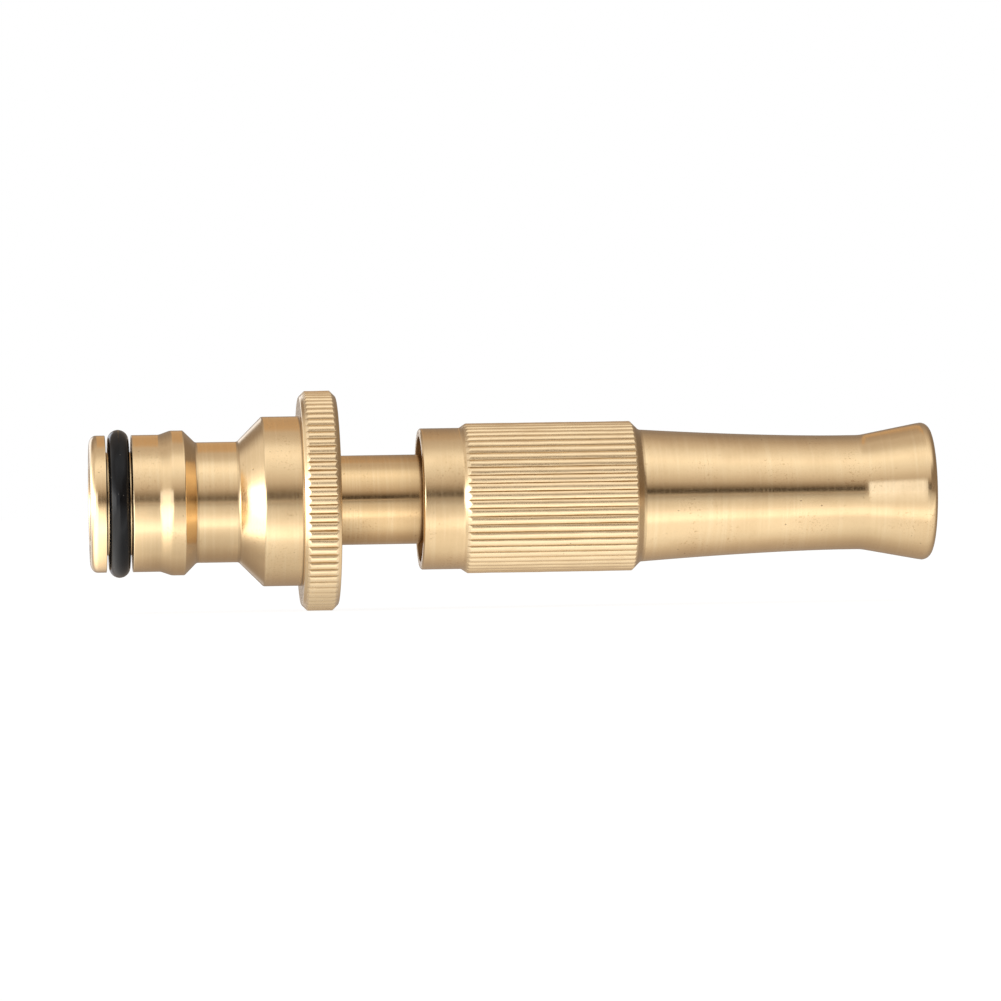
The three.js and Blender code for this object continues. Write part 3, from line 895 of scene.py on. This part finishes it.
def studio_world():
    """White to the eye. What the metal sees is set out by angle.

    Over is half turns round the X axis from the front horizon; sideways and up are degrees. There
    is a long overhead softbox, a bright wall and a low panel at the plug's end, an amber wall high
    up behind, a dim side past the mouth, and a narrow dark gap in front, just over the table.
    """
    world = bpy.data.worlds.new("studio")
    world.use_nodes = True
    tree = world.node_tree
    tree.nodes.clear()
    w = Wire(tree)
    x, y, z = w.node("ShaderNodeTexCoord", output="Generated").parts()
    degrees = math.degrees(1)
    over = w.maths("ARCTAN2", z, y * -1) * (degrees / 180)
    sideways = w.maths("ARCSINE", x) * degrees
    up = w.maths("ARCSINE", z) * degrees
    tones = (
        (0.0, 0.7), (0.007, 0.45), (0.016, 0.05), (0.05, 0.05), (0.078, 0.28), (0.13, 0.6),
        (0.19, 0.8), (0.27, 1.0), (0.36, 1.22), (0.45, 1.02), (0.55, 0.76), (0.66, 0.52),
        (0.8, 0.34), (1.0, 0.28),
    )
    around = w.tones(over, tones)
    gap = over.between(0.0, 0.02) * (1 - over.between(0.06, 0.1))
    around = w.mix(around, warm(0.42), gap * (1 - sideways.between(1.6, 3.4)) * 0.5)
    overhead_edge = over.between(0.42, 0.5) * (1 - over.between(0.56, 0.62))
    around = w.mix(around, warm(0.45), overhead_edge * (1 - sideways.between(4.7, 5.4)) * 0.36)
    amber_wall = over.between(0.585, 0.65) * (1 - over.between(0.86, 0.96))
    amber_wall = amber_wall * sideways.between(-1, 1) * (1 - sideways.between(3.0, 3.8))
    around = w.mix(around, colour(0.68, 0.47, 0.27), amber_wall * 0.85)
    right = sideways.between(16, 34) * (1 - up.between(22, 50))
    around = w.mix(around, warm(0.27), right)
    wall_tones = (
        (0.0, 4.4), (0.1, 4.2), (0.16, 1.7), (0.26, 1.02), (0.4, 0.8), (0.7, 0.95), (1.0, 1.0),
    )
    wall = w.tones(up / 90, wall_tones)
    leftward = 0 - sideways
    around = w.mix(around, wall, leftward.between(30, 50))
    panel = leftward.between(5, 10) * (1 - leftward.between(34, 44)) * (1 - up.between(16, 22))
    around = w.mix(around, colour(1.2, 1.25, 1.36), panel)
    eye = w.node("ShaderNodeLightPath", output="Is Camera Ray")
    seen = w.mix(around, colour(1, 1, 1), eye)
    background = w.node("ShaderNodeBackground", {"Color": seen, "Strength": 1.0})
    out = tree.nodes.new("ShaderNodeOutputWorld")
    tree.links.new(background.socket, out.inputs["Surface"])
    bpy.context.scene.world = world


def table_top():
    """A pale table: plain to the eye; in the metal it shows painted light, brightest in a strip at
    the front.
    """
    size, height = 6.0, cad_box[0].z
    corners = [(x * size, y * size, height) for x, y in ((-1, -1), (1, -1), (1, 1), (-1, 1))]
    mesh = bpy.data.meshes.new("table_top")
    mesh.from_pydata(corners, [], [(0, 1, 2, 3)])
    table = bpy.data.objects.new("table_top", mesh)
    bpy.context.scene.collection.objects.link(table)
    material, w, out = new_material("pale_acrylic")
    x, y, _ = w.millimetres().parts()
    # Place across the table in mm, from well before the nozzle to just behind it, and its tone.
    front, back = -120, 30
    places = (
        (front, 1.12), (-95, 1.12), (-60, 1.0), (-40, 0.98), (-28, 1.15), (-22, 1.45),
        (-17.5, 1.6), (-14, 1.2), (-8, 1.12), (-5, 0.97), (-2, 0.74), (1, 0.56), (6, 0.45),
        (back, 0.4),
    )
    shares = [((place - front) / (back - front), tone) for place, tone in places]
    strip = w.tones(y.between(front, back, False), shares)
    # Painted light and shade seen only in the metal: a bright glowing patch at the plug's end, and
    # painted shadows under the plug and under the mouth.
    lit_end = (1 - x.between(-6, 9)) * (1 - y.between(-10, 14))
    painted_shadow_under_plug = x.between(-3, 6) * (1 - x.between(30, 36)) * y.between(-17, -7)
    painted_shadow_under_mouth = x.between(83, 92) * y.between(-24, -12)
    strip = w.mix(strip, colour(3.0, 2.95, 2.85), lit_end)
    strip = w.mix(strip, warm(0.2), painted_shadow_under_plug * 0.38 + painted_shadow_under_mouth * 0.16)
    eye = w.node("ShaderNodeLightPath", output="Is Camera Ray")
    glow = w.node("ShaderNodeEmission", {"Color": strip, "Strength": 1.0})
    gloss = w.node("ShaderNodeBsdfGlossy", {"Color": colour(1, 1, 1), "Roughness": 0.04})
    graze = w.node("ShaderNodeFresnel", {"IOR": 1.45})
    glow = w.node("ShaderNodeMixShader", {0: graze, 1: glow, 2: gloss})
    shine = w.node("ShaderNodeEmission", {"Color": colour(1, 1, 1), "Strength": 1.12})
    matte = w.node("ShaderNodeBsdfDiffuse", {"Color": colour(0.85, 0.85, 0.85)})
    to_eye = w.node("ShaderNodeMixShader", {0: 0.18, 1: shine, 2: matte})
    both = w.node("ShaderNodeMixShader", {0: eye, 1: glow, 2: to_eye})
    w.tree.links.new(both.socket, out.inputs["Surface"])
    table.data.materials.append(material)


def camera():
    """A long lens level with the axis, swung a little to the plug's side and rolled a little."""
    data = bpy.data.cameras.new("camera")
    data.lens, data.sensor_width = 235.6, 36
    data.clip_start, data.clip_end = 0.05, 50
    made = bpy.data.objects.new("camera", data)
    bpy.context.scene.collection.objects.link(made)
    target = Vector((48.3, 0, -0.32)) * MM
    swing, roll, distance = math.radians(4.69), math.radians(0.92), 771 * MM
    back = Vector((-math.sin(swing), -math.cos(swing), 0))
    right = Vector((math.cos(swing), -math.sin(swing), 0))
    up = Vector((0, 0, 1))
    rolled_right = right * math.cos(roll) - up * math.sin(roll)
    rolled_up = up * math.cos(roll) + right * math.sin(roll)
    turn = Matrix((rolled_right, rolled_up, back)).transposed().to_4x4()
    made.matrix_world = Matrix.Translation(target + back * distance) @ turn
    bpy.context.scene.camera = made


studio_world()
table_top()
camera()
bpy.context.scene.view_settings.view_transform = "Standard"
